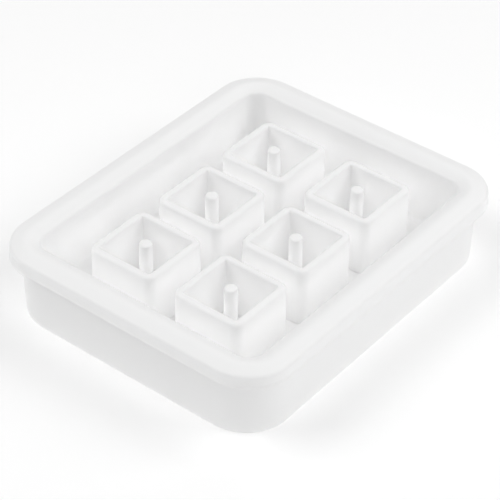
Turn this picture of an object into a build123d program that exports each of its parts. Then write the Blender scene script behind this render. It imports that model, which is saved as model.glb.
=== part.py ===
from build123d import *

# A free-standing silicone mould for casting six cube beads, each with a hole through it.
# A rounded-rectangle tray with a thick wall and a crowned, overhanging rim surrounds six square
# cups, and a round pin stands in the middle of each cup. Millimetres, +Z up, origin at the centre
# of the underside, +X along the tray's long side.

import os

# The bead that one cup casts, and the pin that leaves its hole
BEAD_SIDE = 16.0
PIN_TOP_DIAMETER = 3.3
PIN_FOOT_DIAMETER = 3.6
PIN_ABOVE_CUP = 0.4

# The layout of the cups
CUPS_ALONG_X = 3
CUPS_ALONG_Y = 2
CUP_PITCH_X = 25.1
CUP_PITCH_Y = 26.5
CUP_WALL = 2.0

# The tray
SHEET_THICKNESS = 2.9
RIM_LENGTH = 101.2
RIM_WIDTH = 82.8
RIM_OUTER_EDGE_HEIGHT = 20.0
RIM_SIDE_HEIGHT = 3.6
RIM_BAND_WIDTH = 7.7
RIM_CREST_INSET = 4.35
RIM_CREST_RISE = 0.95
RIM_INNER_EDGE_DROP = 0.3
RIM_OVERHANG = 2.1
CORNER_RADIUS = 12.0

# Mould draft per side, over the full height of a face, and small edge rounds
WALL_DRAFT = 0.3
BASIN_DRAFT = 0.4
CUP_DRAFT = 0.3
UNDERSIDE_ROUND = 1.0
RIM_TOP_EDGE_ROUND = 1.0
RIM_LOWER_EDGE_ROUND = 0.5
CUP_CORNER_RADIUS = 2.5
CUP_TOP_ROUND = 0.8
CAVITY_CORNER_RADIUS = 0.5
PIN_TIP_ROUND = 0.5

# Worked out from the sizes above
CUP_TOP = SHEET_THICKNESS + BEAD_SIDE
PIN_TOP = CUP_TOP + PIN_ABOVE_CUP
CUP_OUTER = BEAD_SIDE + 2 * CUP_WALL
RIM_UNDERSIDE = RIM_OUTER_EDGE_HEIGHT - RIM_SIDE_HEIGHT
RIM_CREST = RIM_OUTER_EDGE_HEIGHT + RIM_CREST_RISE
RIM_INNER_EDGE = RIM_OUTER_EDGE_HEIGHT - RIM_INNER_EDGE_DROP
BODY_LENGTH = RIM_LENGTH - 2 * RIM_OVERHANG
BODY_WIDTH = RIM_WIDTH - 2 * RIM_OVERHANG


def outline(length, width, radius, height):
    """A rounded rectangle centred on Z, lying flat at the given height."""
    return Plane.XY.offset(height) * RectangleRounded(length, width, radius)


def rim_outline(inset, height):
    """The rim's own outline, moved inward by inset, at the given height."""
    return outline(RIM_LENGTH - 2 * inset, RIM_WIDTH - 2 * inset, CORNER_RADIUS - inset, height)


def prism(lower, upper):
    """A solid with straight sides between two outlines."""
    return loft([lower, upper], ruled=True)


def lowest_edges(shape):
    return shape.edges().group_by(Axis.Z)[0]


def highest_edges(shape):
    return shape.edges().group_by(Axis.Z)[-1]


def body_outside():
    """The tray's drafted outside, from the underside up to the rim."""
    foot = outline(
        BODY_LENGTH - 2 * WALL_DRAFT,
        BODY_WIDTH - 2 * WALL_DRAFT,
        CORNER_RADIUS - WALL_DRAFT,
        0,
    )
    shoulder = outline(BODY_LENGTH, BODY_WIDTH, CORNER_RADIUS, RIM_UNDERSIDE)
    block = prism(foot, shoulder)
    return fillet(lowest_edges(block), UNDERSIDE_ROUND)


def basin():
    """The drafted hollow inside the wall, from the sheet up to the rim's inner edge."""
    floor = rim_outline(RIM_BAND_WIDTH + BASIN_DRAFT, SHEET_THICKNESS)
    mouth = rim_outline(RIM_BAND_WIDTH, RIM_INNER_EDGE)
    return prism(floor, mouth)


def slab_between(bottom, top):
    """A slab larger than the tray, used to take one level out of a solid."""
    slab = Box(2 * RIM_LENGTH, 2 * RIM_WIDTH, top - bottom)
    return Pos(0, 0, (bottom + top) / 2) * slab


def base_sheet():
    return body_outside() & slab_between(0, SHEET_THICKNESS)


def side_wall():
    level = slab_between(SHEET_THICKNESS, RIM_UNDERSIDE)
    return (body_outside() & level) - basin()


def rim():
    """The overhanging rim: a low gable in section, with its crest nearer the outside."""
    band = prism(rim_outline(0, RIM_UNDERSIDE), rim_outline(0, RIM_OUTER_EDGE_HEIGHT))
    band = fillet(lowest_edges(band), RIM_LOWER_EDGE_ROUND)
    crown = prism(rim_outline(0, RIM_OUTER_EDGE_HEIGHT), rim_outline(RIM_CREST_INSET, RIM_CREST))
    outer_edge = (band + crown).edges().filter_by_position(
        Axis.Z, RIM_OUTER_EDGE_HEIGHT - 0.01, RIM_OUTER_EDGE_HEIGHT + 0.01
    )
    crowned = fillet(outer_edge, RIM_TOP_EDGE_ROUND)
    inner_slope = prism(
        rim_outline(RIM_BAND_WIDTH, RIM_INNER_EDGE), rim_outline(RIM_CREST_INSET, RIM_CREST)
    )
    return crowned - inner_slope - basin()


def cup():
    """One square cup round a cube-shaped cavity that is open down to the sheet."""
    foot = outline(
        CUP_OUTER + 2 * CUP_DRAFT,
        CUP_OUTER + 2 * CUP_DRAFT,
        CUP_CORNER_RADIUS + CUP_DRAFT,
        SHEET_THICKNESS,
    )
    top = outline(CUP_OUTER, CUP_OUTER, CUP_CORNER_RADIUS, CUP_TOP)
    block = prism(foot, top)
    block = fillet(highest_edges(block), CUP_TOP_ROUND)
    cavity = prism(
        outline(BEAD_SIDE, BEAD_SIDE, CAVITY_CORNER_RADIUS, SHEET_THICKNESS),
        outline(BEAD_SIDE, BEAD_SIDE, CAVITY_CORNER_RADIUS, CUP_TOP),
    )
    return block - cavity


def pin():
    """One tapered core pin, standing on the sheet, with a rounded tip."""
    height = PIN_TOP - SHEET_THICKNESS
    shaft = Cone(PIN_FOOT_DIAMETER / 2, PIN_TOP_DIAMETER / 2, height)
    shaft = Pos(0, 0, SHEET_THICKNESS + height / 2) * shaft
    return fillet(highest_edges(shaft), PIN_TIP_ROUND)


def cup_places():
    """The number and centre of each cup, row by row along X."""
    number = 1
    for row in range(CUPS_ALONG_Y):
        for column in range(CUPS_ALONG_X):
            x = (column - (CUPS_ALONG_X - 1) / 2) * CUP_PITCH_X
            y = (row - (CUPS_ALONG_Y - 1) / 2) * CUP_PITCH_Y
            yield number, Pos(x, y, 0)
            number += 1


def save(shape, node):
    export_step(shape, f"parts/{node}.step")


os.makedirs("parts", exist_ok=True)
save(base_sheet(), "base_sheet")
save(side_wall(), "side_wall")
save(rim(), "rim")
for number, place in cup_places():
    save(place * cup(), f"bead_cup_{number}")
    save(place * pin(), f"bead_pin_{number}")
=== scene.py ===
"""A silicone mould for pierced cube beads, built round its CAD frame as a Blender add-on."""

import math

import bpy
from bpy.props import FloatProperty, FloatVectorProperty, IntProperty, PointerProperty
from mathutils import Matrix, Vector


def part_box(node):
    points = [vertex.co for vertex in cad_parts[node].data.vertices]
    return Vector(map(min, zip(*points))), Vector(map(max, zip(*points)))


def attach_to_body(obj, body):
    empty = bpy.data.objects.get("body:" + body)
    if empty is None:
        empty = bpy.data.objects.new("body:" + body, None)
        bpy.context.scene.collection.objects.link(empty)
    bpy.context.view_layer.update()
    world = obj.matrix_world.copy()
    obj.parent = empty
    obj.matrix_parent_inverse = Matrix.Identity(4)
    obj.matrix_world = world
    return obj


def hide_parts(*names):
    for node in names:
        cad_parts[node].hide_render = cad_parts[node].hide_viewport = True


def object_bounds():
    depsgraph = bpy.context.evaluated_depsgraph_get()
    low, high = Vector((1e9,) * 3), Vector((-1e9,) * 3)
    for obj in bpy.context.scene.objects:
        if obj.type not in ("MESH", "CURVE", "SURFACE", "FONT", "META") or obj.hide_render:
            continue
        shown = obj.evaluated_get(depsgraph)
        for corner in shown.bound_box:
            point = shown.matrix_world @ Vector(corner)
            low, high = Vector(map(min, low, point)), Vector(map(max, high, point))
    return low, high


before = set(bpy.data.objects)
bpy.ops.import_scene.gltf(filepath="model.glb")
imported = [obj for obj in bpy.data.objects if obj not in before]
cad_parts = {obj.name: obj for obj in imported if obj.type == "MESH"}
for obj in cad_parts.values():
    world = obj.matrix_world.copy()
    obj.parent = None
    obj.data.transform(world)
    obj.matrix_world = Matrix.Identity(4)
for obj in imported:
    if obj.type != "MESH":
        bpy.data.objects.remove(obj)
FRAME_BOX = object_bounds()

bl_info = {
    "name": "Pinned Bead Mould",
    "version": (1, 0, 0),
    "blender": (4, 5, 0),
    "location": "3D View > Sidebar > Bead Mould",
    "description": "Builds a silicone mould with square cups and core pins for pierced cube beads",
    "category": "Object",
}

MM = 0.001
BODY = "root"
# Faces that touch stay this far apart, so that no two faces lie in one plane
CONTACT_GAP = 0.02 * MM
LIGHT_BOUNCES = 32
# The soft lights: name, turn from the camera and height in degrees, share of the light power
SOFT_LIGHTS = (
    ("right_light", 90, 42, 1.32),
    ("front_light", 20, 42, 0.56),
    ("back_right_light", 160, 45, 0.44),
    ("left_light", -90, 50, 1.55),
)
# The stage's sizes, in metres
LIGHT_DISTANCE = 0.75
LIGHT_SIZE = 0.5
FLOOR_HALF = 3.0
CAMERA_CLIP = 0.01
CUP_NUMBERS = range(1, 7)
# Points of a mesh closer than this are one point
SEAM = 0.001 * MM
# The finishes: a refractive index, the noise patterns' scales and plain shader values
SILICONE_IOR = 1.41
CLOUD_SCALE = 45.0
SKIN_SCALE = 900.0
SKIN_STRENGTH = 0.5
FLOOR_ROUGHNESS = 0.9
FLOOR_SPECULAR = 0.1

# The frame's own sizes, in metres
RIM_LOW, RIM_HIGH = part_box("rim")
SHEET_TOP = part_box("base_sheet")[1].z
WALL_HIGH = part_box("side_wall")[1]
CUP_LOW, CUP_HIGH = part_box("bead_cup_1")
PIN_LOW, PIN_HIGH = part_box("bead_pin_1")
OVERHANG = RIM_HIGH.x - WALL_HIGH.x


def middle(low, high):
    """The middle of a node's box, on the ground plane."""
    return Vector(((low.x + high.x) / 2, (low.y + high.y) / 2, 0))


# ---------------------------------------------------------------- sizes and colours


def length(name, description, millimetres):
    return FloatProperty(
        name=name, description=description, default=millimetres * MM, unit="LENGTH", precision=5
    )


def colour(name, description, value):
    return FloatVectorProperty(
        name=name, description=description, default=value, size=3, subtype="COLOR", min=0, max=1
    )


def strength(name, description, value):
    return FloatProperty(name=name, description=description, default=value, min=0)


class BeadMouldTray(bpy.types.PropertyGroup):
    band_width: length("Band Width", "Width of the rim, from its outer side to the basin", 7.7)
    side_height: length("Side Height", "Height of the rim's outer side", 3.6)
    corner_radius: length("Corner Radius", "Plan radius of the rim's corners", 12.0)
    crest_inset: length("Crest Inset", "Distance of the crest from the rim's outer side", 4.35)
    inner_drop: length("Inner Drop", "How far the inner edge lies below the outer edge", 0.3)
    wall_draft: length("Wall Draft", "How much the wall's foot is drawn in", 0.3)
    basin_draft: length("Basin Draft", "How much the basin narrows to its floor", 0.4)
    underside_round: length("Underside Round", "Round along the lower edge", 0.5)
    ledge_round: length("Ledge Round", "Round where the wall meets the rim's underside", 0.4)
    lower_edge_round: length("Lower Edge Round", "Round along the rim's lower edge", 0.15)
    lip_height: length("Lip Height", "Height of the thin lip along the rim's lower edge", 0.5)
    lip_depth: length("Lip Depth", "How far that lip stands out", 0.18)
    outer_edge_round: length("Outer Edge Round", "Round along the rim's outer top edge", 1.0)
    crest_round: length("Crest Round", "Round along the crest", 4.0)
    inner_edge_round: length("Inner Edge Round", "Round along the basin's mouth", 0.6)
    basin_round: length("Basin Round", "Round between the basin's wall and floor", 1.5)


class BeadMouldCup(bpy.types.PropertyGroup):
    wall: length("Wall", "Thickness of a cup's wall", 2.0)
    corner_radius: length("Corner Radius", "Plan radius of a cup's outer corners", 2.5)
    draft: length("Draft", "How much a cup's foot stands out", 0.3)
    outer_round: length("Outer Round", "Round along the top outer edge", 0.8)
    mouth_round: length("Mouth Round", "Round along the cavity's mouth", 0.35)
    foot_round: length("Foot Round", "Concave round between the cup and the basin floor", 0.05)


class BeadMouldPin(bpy.types.PropertyGroup):
    taper: length("Taper", "How much the radius shrinks from foot to tip", 0.15)
    tip_round: length("Tip Round", "Round along the tip's edge", 0.25)
    foot_round: length("Foot Round", "Concave round between the pin and the cavity floor", 0.05)


class BeadMouldMesh(bpy.types.PropertyGroup):
    spacing: length("Section Spacing", "Distance between the rows of faces along a section", 0.3)
    round_steps: IntProperty(
        name="Round Steps", description="Faces across one edge round", default=6, min=1
    )
    corner_steps: IntProperty(
        name="Corner Steps", description="Faces round one plan corner", default=14, min=1
    )
    side_steps: IntProperty(
        name="Side Steps", description="Faces along one straight side", default=10, min=1
    )


class BeadMouldSilicone(bpy.types.PropertyGroup):
    # The silicone is one colour. These three tints differ by part only as painted light and shade: the
    # tray and the pins are a touch lighter to lift their shaded basin and pin sides, and the cups a
    # touch darker to dim their walls and cavities
    tray_tint: colour("Tray Tint", "Colour of the tray", (0.994, 0.993, 0.993))
    cup_tint: colour("Cup Tint", "Colour of the thin-walled cups", (0.987, 0.986, 0.986))
    pin_tint: colour("Pin Tint", "Colour of the pins", (0.996, 0.995, 0.995))
    cloudiness: FloatProperty(
        name="Cloudiness", description="Brightness of the cloudy patches", default=0.992, max=1
    )
    scatter_share: strength("Scatter Share", "Share of the light that spreads inside the silicone", 0.5)
    scatter_depth: length("Scatter Depth", "How far light travels inside the silicone", 3.0)
    roughness: FloatProperty(
        name="Roughness", description="Roughness of the satin skin", default=0.42, min=0, max=1
    )
    skin_depth: length("Skin Depth", "Depth of the fine unevenness of the skin", 0.01)


class BeadMouldStage(bpy.types.PropertyGroup):
    azimuth: FloatProperty(
        name="Azimuth", description="Camera's angle round the tray", default=-52.007, precision=3
    )
    elevation: FloatProperty(
        name="Elevation", description="Camera's angle above the table", default=38.554, precision=3
    )
    roll: FloatProperty(
        name="Roll", description="Camera's turn about its own axis", default=1.097, precision=3
    )
    distance: length("Distance", "From the camera to its aim point", 503.6)
    aim_x: length("Aim X", "Aim point's place along the tray, from the middle", -2.4)
    aim_y: length("Aim Y", "Aim point's place across the tray, from the middle", -0.97)
    lens: FloatProperty(
        name="Lens", description="Focal length in millimetres", default=146.43, precision=2
    )
    floor_colour: colour("Floor Colour", "Colour of the pale floor", (0.99, 0.99, 0.99))
    sky_strength: strength("Sky Strength", "Strength of the even light all round", 0.195)
    light_power: strength("Light Power", "Power of a soft light whose share is 1, in watts", 1.63)
    floor_glow: strength("Floor Glow", "Light the table gives off, like a studio light table", 0.09)


# ---------------------------------------------------------------- node tree helpers


def attach(tree, target, value):
    """Links a socket's source to the target, or sets the target's own value."""
    if isinstance(value, bpy.types.NodeSocket):
        tree.links.new(value, target)
    elif value is not None:
        target.default_value = value


def add(tree, kind, settings=None, **inputs):
    """A new node with its settings and named inputs, where an underscore stands for a space."""
    node = tree.nodes.new(kind)
    for name, value in (settings or {}).items():
        setattr(node, name, value)
    for name, value in inputs.items():
        attach(tree, node.inputs[name.replace("_", " ")], value)
    return node


def maths(tree, operation, *values):
    node = tree.nodes.new("ShaderNodeMath")
    node.operation = operation
    for target, value in zip(node.inputs, values):
        attach(tree, target, value)
    return node.outputs[0]


def point(tree, x, y, z):
    return add(tree, "ShaderNodeCombineXYZ", X=x, Y=y, Z=z).outputs[0]


def choose(tree, kind, index, values):
    """The value at a whole-numbered index; kind is FLOAT or VECTOR."""
    node = tree.nodes.new("GeometryNodeIndexSwitch")
    node.data_type = kind
    while len(node.index_switch_items) < len(values):
        node.index_switch_items.new()
    attach(tree, node.inputs["Index"], index)
    for number, value in enumerate(values):
        attach(tree, node.inputs[str(number)], value)
    return node.outputs[0]


def section_curve(tree, corners, steps):
    """A curve through (inset, height, round) corners, each rounded by an arc of that radius."""
    index = tree.nodes.new("GeometryNodeInputIndex").outputs[0]
    places = [point(tree, inset, 0.0, height) for inset, height, _ in corners]
    dots = add(
        tree,
        "GeometryNodePoints",
        Count=len(corners),
        Position=choose(tree, "VECTOR", index, places),
    )
    line = add(tree, "GeometryNodePointsToCurves", Points=dots.outputs[0])
    rounded = add(
        tree,
        "GeometryNodeFilletCurve",
        {"mode": "POLY"},
        Curve=line.outputs[0],
        Count=steps,
        Radius=choose(tree, "FLOAT", index, [radius for _, _, radius in corners]),
    )
    rounded.inputs["Limit Radius"].default_value = True
    return rounded.outputs[0]


def new_tree(name, inputs):
    """An empty geometry tree with named inputs, given as (name, kind, default)."""
    tree = bpy.data.node_groups.new(name, "GeometryNodeTree")
    tree.interface.new_socket(name="Mesh", in_out="OUTPUT", socket_type="NodeSocketGeometry")
    for label, kind, default in inputs:
        socket = tree.interface.new_socket(
            name=label, in_out="INPUT", socket_type=f"NodeSocket{kind}"
        )
        if default is not None:
            socket.default_value = default
    source = tree.nodes.new("NodeGroupInput")
    return tree, {s.name: s for s in source.outputs}


def end_tree(tree, geometry):
    target = tree.nodes.new("NodeGroupOutput")
    tree.links.new(geometry, target.inputs[0])


def rounded_loft_group():
    """Carries a section round a rounded rectangle.

    A section point's X is its inset from the outline and its Z its height. Corners stay concentric,
    except below Plain Height, where every row keeps the outline's own corner radius. Closed Ends
    draws faces from both ends of the section to the middle.
    """
    tree, given = new_tree(
        "Rounded Loft",
        [
            ("Section", "Geometry", None),
            ("Length", "Float", 0.1),
            ("Width", "Float", 0.1),
            ("Corner Radius", "Float", 0.01),
            ("Plain Height", "Float", -1.0),
            ("Plain Inset", "Float", 0.0),
            ("Closed Ends", "Int", 0),
            ("Spacing", "Float", 0.0003),
            ("Corner Steps", "Int", 8),
            ("Side Steps", "Int", 4),
        ],
    )
    section = add(
        tree,
        "GeometryNodeResampleCurve",
        {"mode": "LENGTH"},
        Curve=given["Section"],
        Length=given["Spacing"],
    ).outputs[0]
    size = add(tree, "GeometryNodeAttributeDomainSize", {"component": "CURVE"}, Geometry=section)
    samples = size.outputs["Point Count"]
    rows = maths(tree, "ADD", samples, maths(tree, "MULTIPLY", given["Closed Ends"], 2.0))
    quarter = maths(tree, "ADD", given["Corner Steps"], given["Side Steps"])
    columns = maths(tree, "ADD", maths(tree, "MULTIPLY", quarter, 4.0), 1.0)
    last_row = maths(tree, "SUBTRACT", rows, 1.0)
    last_column = maths(tree, "SUBTRACT", columns, 1.0)
    grid = add(
        tree,
        "GeometryNodeMeshGrid",
        Size_X=last_column,
        Size_Y=last_row,
        Vertices_X=columns,
        Vertices_Y=rows,
    )
    place = tree.nodes.new("GeometryNodeInputPosition").outputs[0]
    spread = add(tree, "ShaderNodeSeparateXYZ", Vector=place)
    half_columns = maths(tree, "MULTIPLY", last_column, 0.5)
    half_rows = maths(tree, "MULTIPLY", last_row, 0.5)
    column = maths(tree, "ROUND", maths(tree, "ADD", spread.outputs["X"], half_columns))
    row = maths(tree, "ROUND", maths(tree, "ADD", spread.outputs["Y"], half_rows))

    # The section point of this row
    wanted = maths(tree, "SUBTRACT", row, given["Closed Ends"])
    sampled = add(
        tree,
        "GeometryNodeSampleIndex",
        {"data_type": "FLOAT_VECTOR", "domain": "POINT", "clamp": True},
        Geometry=section,
        Value=tree.nodes.new("GeometryNodeInputPosition").outputs[0],
        Index=wanted,
    ).outputs[0]
    drawn = add(tree, "ShaderNodeSeparateXYZ", Vector=sampled)
    height = drawn.outputs["Z"]
    half_width = maths(tree, "MULTIPLY", given["Width"], 0.5)
    before = maths(tree, "LESS_THAN", wanted, -0.5)
    after = maths(tree, "GREATER_THAN", wanted, maths(tree, "SUBTRACT", samples, 0.5))
    at_end = maths(tree, "MAXIMUM", before, after)
    shortfall = maths(tree, "SUBTRACT", half_width, drawn.outputs["X"])
    inset = maths(tree, "ADD", drawn.outputs["X"], maths(tree, "MULTIPLY", shortfall, at_end))

    # The corner radius of this row
    low = maths(tree, "LESS_THAN", height, given["Plain Height"])
    outside = maths(tree, "LESS_THAN", drawn.outputs["X"], given["Plain Inset"])
    concentric = maths(tree, "SUBTRACT", 1.0, maths(tree, "MULTIPLY", low, outside))
    shrunk = maths(tree, "MULTIPLY", inset, concentric)
    radius = maths(tree, "SUBTRACT", given["Corner Radius"], shrunk)
    radius = maths(tree, "MINIMUM", radius, maths(tree, "SUBTRACT", half_width, inset))
    radius = maths(tree, "MAXIMUM", radius, 0.0)

    # The place of this column: round a corner, then along the next side
    side = maths(tree, "FLOOR", maths(tree, "DIVIDE", maths(tree, "ADD", column, 0.5), quarter))
    step = maths(tree, "SUBTRACT", column, maths(tree, "MULTIPLY", side, quarter))
    turn = maths(tree, "MINIMUM", maths(tree, "DIVIDE", step, given["Corner Steps"]), 1.0)
    past = maths(tree, "MAXIMUM", maths(tree, "SUBTRACT", step, given["Corner Steps"]), 0.0)
    along = maths(tree, "DIVIDE", past, given["Side Steps"])
    arc_x = maths(tree, "SUBTRACT", maths(tree, "MULTIPLY", given["Length"], 0.5), inset)
    arc_x = maths(tree, "SUBTRACT", arc_x, radius)
    arc_y = maths(tree, "SUBTRACT", maths(tree, "SUBTRACT", half_width, inset), radius)

    def on_corner(corner, swing):
        """The point of one corner's arc after a swing of 0 to 1 quarter turns."""
        start = maths(tree, "MULTIPLY", corner, math.pi / 2)
        diagonal = maths(tree, "ADD", start, math.pi / 4)
        angle = maths(tree, "ADD", start, maths(tree, "MULTIPLY", swing, math.pi / 2))
        places = []
        for function, arc in (("COSINE", arc_x), ("SINE", arc_y)):
            sign = maths(tree, "SIGN", maths(tree, function, diagonal))
            reach = maths(tree, "MULTIPLY", maths(tree, function, angle), radius)
            places.append(maths(tree, "ADD", maths(tree, "MULTIPLY", sign, arc), reach))
        return point(tree, places[0], places[1], height)

    here = on_corner(side, turn)
    following = on_corner(maths(tree, "ADD", side, 1.0), 0.0)
    blend = add(tree, "ShaderNodeMix", {"data_type": "VECTOR"})
    attach(tree, blend.inputs["Factor"], along)
    attach(tree, blend.inputs[4], here)
    attach(tree, blend.inputs[5], following)
    moved = add(
        tree, "GeometryNodeSetPosition", Geometry=grid.outputs["Mesh"], Position=blend.outputs[1]
    )
    closed = add(
        tree, "GeometryNodeMergeByDistance", Geometry=moved.outputs[0], Distance=SEAM
    )
    end_tree(tree, closed.outputs[0])
    return tree


SHAPE_INPUTS = [
    ("Length", "Float", 0.1),
    ("Width", "Float", 0.1),
    ("Corner Radius", "Float", 0.01),
    ("Centre", "Vector", (0.0, 0.0, 0.0)),
    ("Spacing", "Float", 0.0003),
    ("Round Steps", "Int", 6),
    ("Corner Steps", "Int", 14),
    ("Side Steps", "Int", 10),
    ("Silicone", "Material", None),
]


def finish_shape(tree, given, loft_inputs):
    """Lofts the section, moves it to its centre and gives it its material."""
    loft = tree.nodes.new("GeometryNodeGroup")
    loft.node_tree = bpy.data.node_groups.get("Rounded Loft") or rounded_loft_group()
    shared = ("Length", "Width", "Corner Radius", "Spacing", "Corner Steps", "Side Steps")
    for name, value in {**{k: given[k] for k in shared}, **loft_inputs}.items():
        attach(tree, loft.inputs[name], value)
    moved = add(
        tree, "GeometryNodeTransform", Geometry=loft.outputs[0], Translation=given["Centre"]
    )
    smooth = add(tree, "GeometryNodeSetShadeSmooth", Geometry=moved.outputs[0])
    real = add(tree, "GeometryNodeRealizeInstances", Geometry=smooth.outputs[0])
    painted = add(
        tree, "GeometryNodeSetMaterial", Geometry=real.outputs[0], Material=given["Silicone"]
    )
    end_tree(tree, painted.outputs[0])


def tray_tree():
    """The tray's whole skin: underside, wall, rim, basin wall and basin floor."""
    own = [
        "Overhang",
        "Rim Underside",
        "Side Height",
        "Crest Inset",
        "Crest Height",
        "Inner Drop",
        "Band Width",
        "Sheet Top",
        "Wall Draft",
        "Basin Draft",
        "Underside Round",
        "Ledge Round",
        "Lower Edge Round",
        "Lip Height",
        "Lip Depth",
        "Outer Edge Round",
        "Crest Round",
        "Inner Edge Round",
        "Basin Round",
    ]
    tree, given = new_tree("Mould Tray", SHAPE_INPUTS + [(name, "Float", 0.0) for name in own])
    foot = maths(tree, "ADD", given["Overhang"], given["Wall Draft"])
    edge = maths(tree, "ADD", given["Rim Underside"], given["Side Height"])
    inner_edge = maths(tree, "SUBTRACT", edge, given["Inner Drop"])
    lip_top = maths(tree, "ADD", given["Rim Underside"], given["Lip Height"])
    lip_end = maths(tree, "ADD", lip_top, given["Lip Depth"])
    basin_foot = maths(tree, "ADD", given["Band Width"], given["Basin Draft"])
    # The section starts and ends on the flat stretches, a little past their rounds
    start = maths(tree, "ADD", foot, maths(tree, "MULTIPLY", given["Underside Round"], 2.0))
    end = maths(tree, "ADD", basin_foot, maths(tree, "MULTIPLY", given["Basin Round"], 2.0))
    section = section_curve(
        tree,
        [
            (start, 0.0, 0.0),
            (foot, 0.0, given["Underside Round"]),
            (given["Overhang"], given["Rim Underside"], given["Ledge Round"]),
            (0.0, given["Rim Underside"], given["Lower Edge Round"]),
            (0.0, lip_top, given["Lower Edge Round"]),
            (given["Lip Depth"], lip_end, given["Lower Edge Round"]),
            (given["Lip Depth"], edge, given["Outer Edge Round"]),
            (given["Crest Inset"], given["Crest Height"], given["Crest Round"]),
            (given["Band Width"], inner_edge, given["Inner Edge Round"]),
            (basin_foot, given["Sheet Top"], given["Basin Round"]),
            (end, given["Sheet Top"], 0.0),
        ],
        given["Round Steps"],
    )
    middle_height = maths(tree, "MULTIPLY", given["Side Height"], 0.5)
    finish_shape(
        tree,
        given,
        {
            "Section": section,
            "Closed Ends": 1,
            "Plain Height": maths(tree, "ADD", given["Rim Underside"], middle_height),
            "Plain Inset": given["Crest Inset"],
        },
    )
    return tree


def cup_tree():
    """One cup: a closed wall round a square cavity, standing just clear of the basin floor."""
    own = ["Wall", "Draft", "Foot", "Top", "Lift", "Outer Round", "Mouth Round", "Foot Round"]
    tree, given = new_tree("Bead Cup", SHAPE_INPUTS + [(name, "Float", 0.0) for name in own])
    bottom = maths(tree, "ADD", given["Foot"], given["Lift"])
    outer_foot = maths(tree, "MULTIPLY", given["Draft"], -1.0)
    skirt = maths(tree, "SUBTRACT", outer_foot, given["Foot Round"])
    foot_top = maths(tree, "ADD", bottom, given["Lift"])
    half_wall = maths(tree, "MULTIPLY", given["Wall"], 0.5)
    section = section_curve(
        tree,
        [
            (half_wall, bottom, 0.0),
            (skirt, bottom, 0.0),
            (outer_foot, foot_top, given["Foot Round"]),
            (0.0, given["Top"], given["Outer Round"]),
            (given["Wall"], given["Top"], given["Mouth Round"]),
            (given["Wall"], bottom, 0.0),
            (half_wall, bottom, 0.0),
        ],
        given["Round Steps"],
    )
    finish_shape(tree, given, {"Section": section})
    return tree


def pin_tree():
    """One tapered core pin with a rounded tip, standing just clear of the cavity floor."""
    own = ["Taper", "Foot", "Top", "Lift", "Tip Round", "Foot Round"]
    tree, given = new_tree("Core Pin", SHAPE_INPUTS + [(name, "Float", 0.0) for name in own])
    bottom = maths(tree, "ADD", given["Foot"], given["Lift"])
    skirt = maths(tree, "MULTIPLY", given["Foot Round"], -1.0)
    foot_top = maths(tree, "ADD", bottom, given["Lift"])
    axis = maths(tree, "MULTIPLY", given["Width"], 0.5)
    section = section_curve(
        tree,
        [
            (axis, bottom, 0.0),
            (skirt, bottom, 0.0),
            (0.0, foot_top, given["Foot Round"]),
            (given["Taper"], given["Top"], given["Tip Round"]),
            (axis, given["Top"], 0.0),
        ],
        given["Round Steps"],
    )
    finish_shape(tree, given, {"Section": section})
    return tree


def grow(name, tree, values):
    """A piece made by a node tree, as a plain mesh at the origin."""
    maker = bpy.data.objects.new(f"{name}.maker", bpy.data.meshes.new(f"{name}.seed"))
    bpy.context.scene.collection.objects.link(maker)
    modifier = maker.modifiers.new("Shape", "NODES")
    modifier.node_group = tree
    sockets = {s.name: s.identifier for s in tree.interface.items_tree if s.in_out == "INPUT"}
    for label, value in values.items():
        modifier[sockets[label]] = value
    graph = bpy.context.evaluated_depsgraph_get()
    mesh = bpy.data.meshes.new_from_object(maker.evaluated_get(graph), depsgraph=graph)
    bpy.data.objects.remove(maker)
    if len(mesh.polygons) == 0:
        raise RuntimeError(f"the node tree made no faces for {name}")
    mesh.name = name
    mesh.validate()
    piece = bpy.data.objects.new(name, mesh)
    bpy.context.scene.collection.objects.link(piece)
    return piece


def settle(piece, *nodes):
    """Puts a finished piece on the body in place of its CAD nodes."""
    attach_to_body(piece, BODY)
    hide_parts(*nodes)


def mesh_values(scene):
    mesh = scene.bead_mould_mesh
    return {
        "Spacing": mesh.spacing,
        "Round Steps": mesh.round_steps,
        "Corner Steps": mesh.corner_steps,
        "Side Steps": mesh.side_steps,
    }


# ---------------------------------------------------------------- materials


def silicone(look, part, tint):
    """Translucent white silicone: light spreads inside it, under a faintly uneven satin skin."""
    # Each part gets its own copy, so that its tint can carry that part's painted light and shade
    name = f"{part}_silicone"
    material = bpy.data.materials.get(name)
    if material:
        return material
    material = bpy.data.materials.new(name)
    material.use_nodes = True
    tree = material.node_tree
    shader = tree.nodes["Principled BSDF"]
    place = tree.nodes.new("ShaderNodeTexCoord").outputs["Object"]
    clouds = add(
        tree, "ShaderNodeTexNoise", Vector=place, Scale=CLOUD_SCALE, Detail=3.0, Roughness=0.5
    )
    blend = add(tree, "ShaderNodeMix", {"data_type": "RGBA"})
    attach(tree, blend.inputs["Factor"], clouds.outputs["Fac"])
    blend.inputs[6].default_value = (*tint, 1)
    blend.inputs[7].default_value = (*(look.cloudiness * channel for channel in tint), 1)
    attach(tree, shader.inputs["Base Color"], blend.outputs[2])
    shader.inputs["Subsurface Weight"].default_value = look.scatter_share
    shader.inputs["Subsurface Radius"].default_value = (1.0, 1.0, 1.0)
    shader.inputs["Subsurface Scale"].default_value = look.scatter_depth
    shader.inputs["IOR"].default_value = SILICONE_IOR
    shader.inputs["Roughness"].default_value = look.roughness
    skin = add(
        tree, "ShaderNodeTexNoise", Vector=place, Scale=SKIN_SCALE, Detail=2.0, Roughness=0.5
    )
    bump = add(
        tree,
        "ShaderNodeBump",
        Height=skin.outputs["Fac"],
        Distance=look.skin_depth,
        Strength=SKIN_STRENGTH,
    )
    attach(tree, shader.inputs["Normal"], bump.outputs[0])
    return material


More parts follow.
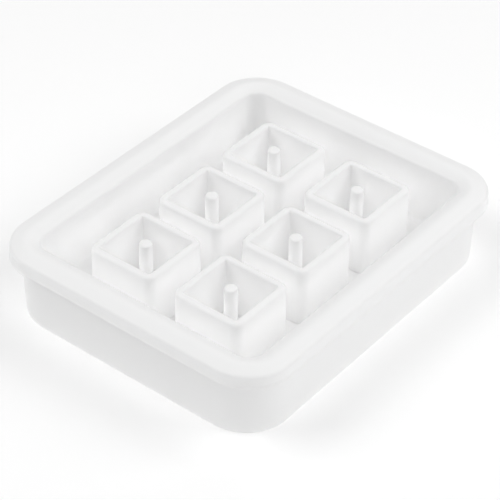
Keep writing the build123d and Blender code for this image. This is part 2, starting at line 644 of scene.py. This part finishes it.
def floor_material(stage):
    material = bpy.data.materials.new("pale_floor")
    material.use_nodes = True
    shader = material.node_tree.nodes["Principled BSDF"]
    shader.inputs["Base Color"].default_value = (*stage.floor_colour, 1)
    shader.inputs["Emission Color"].default_value = (1, 1, 1, 1)
    shader.inputs["Emission Strength"].default_value = stage.floor_glow
    shader.inputs["Roughness"].default_value = FLOOR_ROUGHNESS
    shader.inputs["Specular IOR Level"].default_value = FLOOR_SPECULAR
    return material


# ---------------------------------------------------------------- operators


class BEADMOULD_OT_tray(bpy.types.Operator):
    """Build the tray: base sheet, side wall and crowned rim as one skin"""

    bl_idname = "bead_mould.tray"
    bl_label = "Build Tray"

    def execute(self, context):
        tray = context.scene.bead_mould_tray
        look = context.scene.bead_mould_silicone
        values = {
            **mesh_values(context.scene),
            "Silicone": silicone(look, "tray", look.tray_tint),
            "Length": RIM_HIGH.x - RIM_LOW.x,
            "Width": RIM_HIGH.y - RIM_LOW.y,
            "Corner Radius": tray.corner_radius,
            "Overhang": OVERHANG,
            "Rim Underside": RIM_LOW.z,
            "Side Height": tray.side_height,
            "Crest Inset": tray.crest_inset,
            "Crest Height": RIM_HIGH.z,
            "Inner Drop": tray.inner_drop,
            "Band Width": tray.band_width,
            "Sheet Top": SHEET_TOP,
            "Wall Draft": tray.wall_draft,
            "Basin Draft": tray.basin_draft,
            "Underside Round": tray.underside_round,
            "Ledge Round": tray.ledge_round,
            "Lower Edge Round": tray.lower_edge_round,
            "Lip Height": tray.lip_height,
            "Lip Depth": tray.lip_depth,
            "Outer Edge Round": tray.outer_edge_round,
            "Crest Round": tray.crest_round,
            "Inner Edge Round": tray.inner_edge_round,
            "Basin Round": tray.basin_round,
        }
        settle(grow("tray", tray_tree(), values), "base_sheet", "side_wall", "rim")
        return {"FINISHED"}


class BEADMOULD_OT_cups(bpy.types.Operator):
    """Build the square cups that cast the beads"""

    bl_idname = "bead_mould.cups"
    bl_label = "Build Bead Cups"

    def execute(self, context):
        cup = context.scene.bead_mould_cup
        look = context.scene.bead_mould_silicone
        outer = CUP_HIGH.x - CUP_LOW.x - 2 * cup.draft
        tree = cup_tree()
        for number in CUP_NUMBERS:
            node = f"bead_cup_{number}"
            values = {
                **mesh_values(context.scene),
                "Silicone": silicone(look, "cup", look.cup_tint),
                "Length": outer,
                "Width": outer,
                "Corner Radius": cup.corner_radius,
                "Centre": middle(*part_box(node)),
                "Wall": cup.wall,
                "Draft": cup.draft,
                "Foot": CUP_LOW.z,
                "Top": CUP_HIGH.z,
                "Lift": CONTACT_GAP,
                "Outer Round": cup.outer_round,
                "Mouth Round": cup.mouth_round,
                "Foot Round": cup.foot_round,
            }
            settle(grow(f"cup_{number}", tree, values), node)
        return {"FINISHED"}


class BEADMOULD_OT_pins(bpy.types.Operator):
    """Build the core pins that leave the hole through each bead"""

    bl_idname = "bead_mould.pins"
    bl_label = "Build Core Pins"

    def execute(self, context):
        pin = context.scene.bead_mould_pin
        look = context.scene.bead_mould_silicone
        diameter = PIN_HIGH.x - PIN_LOW.x
        tree = pin_tree()
        for number in CUP_NUMBERS:
            node = f"bead_pin_{number}"
            values = {
                **mesh_values(context.scene),
                "Silicone": silicone(look, "pin", look.pin_tint),
                "Length": diameter,
                "Width": diameter,
                "Corner Radius": diameter / 2,
                "Centre": middle(*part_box(node)),
                "Side Steps": 1,
                "Taper": pin.taper,
                "Foot": PIN_LOW.z,
                "Top": PIN_HIGH.z,
                "Lift": CONTACT_GAP,
                "Tip Round": pin.tip_round,
                "Foot Round": pin.foot_round,
            }
            settle(grow(f"pin_{number}", tree, values), node)
        return {"FINISHED"}


class BEADMOULD_OT_stage(bpy.types.Operator):
    """Set up the pale floor, the soft light and the camera"""

    bl_idname = "bead_mould.stage"
    bl_label = "Set Up Stage"

    def execute(self, context):
        scene = context.scene
        stage = scene.bead_mould_stage
        scene.view_settings.view_transform = "Standard"
        # Pale silicone passes light on many times before it fades
        for kind in ("max_bounces", "diffuse_bounces", "transmission_bounces", "glossy_bounces"):
            setattr(scene.cycles, kind, LIGHT_BOUNCES)
        self.add_floor(scene, stage)
        self.add_sky(scene, stage)
        for name, around, above, share in SOFT_LIGHTS:
            self.add_soft_light(scene, name, around, above, share * stage.light_power)
        self.add_camera(scene, stage)
        return {"FINISHED"}

    def add_floor(self, scene, stage):
        mesh = bpy.data.meshes.new("floor")
        signs = ((-1, -1), (1, -1), (1, 1), (-1, 1))
        corners = [(x * FLOOR_HALF, y * FLOOR_HALF, -CONTACT_GAP) for x, y in signs]
        mesh.from_pydata(corners, [], [(0, 1, 2, 3)])
        mesh.materials.append(floor_material(stage))
        floor = bpy.data.objects.new("floor", mesh)
        scene.collection.objects.link(floor)

    def add_sky(self, scene, stage):
        world = bpy.data.worlds.new("studio")
        world.use_nodes = True
        background = world.node_tree.nodes["Background"]
        background.inputs["Color"].default_value = (1, 1, 1, 1)
        background.inputs["Strength"].default_value = stage.sky_strength
        scene.world = world

    def add_soft_light(self, scene, name, around, above, power):
        """A square soft light that faces the table's middle, placed by turn and height in degrees."""
        # At azimuth 0 the camera stands on the -Y side
        turn = math.radians(scene.bead_mould_stage.azimuth - 90 + around)
        rise = math.radians(above)
        level = math.cos(rise)
        place = Vector((math.cos(turn) * level, math.sin(turn) * level, math.sin(rise)))
        data = bpy.data.lights.new(name, "AREA")
        data.shape = "SQUARE"
        data.size = LIGHT_SIZE
        data.energy = power
        light = bpy.data.objects.new(name, data)
        light.location = place * LIGHT_DISTANCE
        light.rotation_euler = (-place).to_track_quat("-Z", "Y").to_euler()
        scene.collection.objects.link(light)

    def add_camera(self, scene, stage):
        low, high = FRAME_BOX
        aim = (low + high) / 2 + Vector((stage.aim_x, stage.aim_y, 0))
        around, above, roll = (
            math.radians(angle) for angle in (stage.azimuth, stage.elevation, stage.roll)
        )
        back = Vector(
            (
                math.sin(around) * math.cos(above),
                -math.cos(around) * math.cos(above),
                math.sin(above),
            )
        )
        level = Vector((math.cos(around), math.sin(around), 0))
        rise = back.cross(level)
        right = math.cos(roll) * level + math.sin(roll) * rise
        up = back.cross(right)
        data = bpy.data.cameras.new("camera")
        data.lens = stage.lens
        data.clip_start = CAMERA_CLIP
        camera = bpy.data.objects.new("camera", data)
        turn = Matrix((right, up, back)).transposed().to_4x4()
        camera.matrix_world = Matrix.Translation(aim + back * stage.distance) @ turn
        scene.collection.objects.link(camera)
        scene.camera = camera


class BEADMOULD_PT_panel(bpy.types.Panel):
    bl_label = "Pinned Bead Mould"
    bl_idname = "BEADMOULD_PT_panel"
    bl_space_type = "VIEW_3D"
    bl_region_type = "UI"
    bl_category = "Bead Mould"

    def draw(self, context):
        for step in STEPS:
            self.layout.operator(step.bl_idname)
        for name, group in GROUPS.items():
            box = self.layout.box()
            box.label(text=group.__name__.replace("BeadMould", ""))
            for item in group.__annotations__:
                box.prop(getattr(context.scene, name), item)


STEPS = (
    BEADMOULD_OT_tray,
    BEADMOULD_OT_cups,
    BEADMOULD_OT_pins,
    BEADMOULD_OT_stage,
)
GROUPS = {
    "bead_mould_tray": BeadMouldTray,
    "bead_mould_cup": BeadMouldCup,
    "bead_mould_pin": BeadMouldPin,
    "bead_mould_mesh": BeadMouldMesh,
    "bead_mould_silicone": BeadMouldSilicone,
    "bead_mould_stage": BeadMouldStage,
}


def register():
    for name, group in GROUPS.items():
        bpy.utils.register_class(group)
        setattr(bpy.types.Scene, name, PointerProperty(type=group))
    for step in STEPS:
        bpy.utils.register_class(step)
    bpy.utils.register_class(BEADMOULD_PT_panel)


def unregister():
    bpy.utils.unregister_class(BEADMOULD_PT_panel)
    for step in reversed(STEPS):
        bpy.utils.unregister_class(step)
    for name, group in reversed(GROUPS.items()):
        delattr(bpy.types.Scene, name)
        bpy.utils.unregister_class(group)


def main():
    register()
    bpy.ops.bead_mould.tray()
    bpy.ops.bead_mould.cups()
    bpy.ops.bead_mould.pins()
    bpy.ops.bead_mould.stage()


if __name__ == "__main__":
    main()
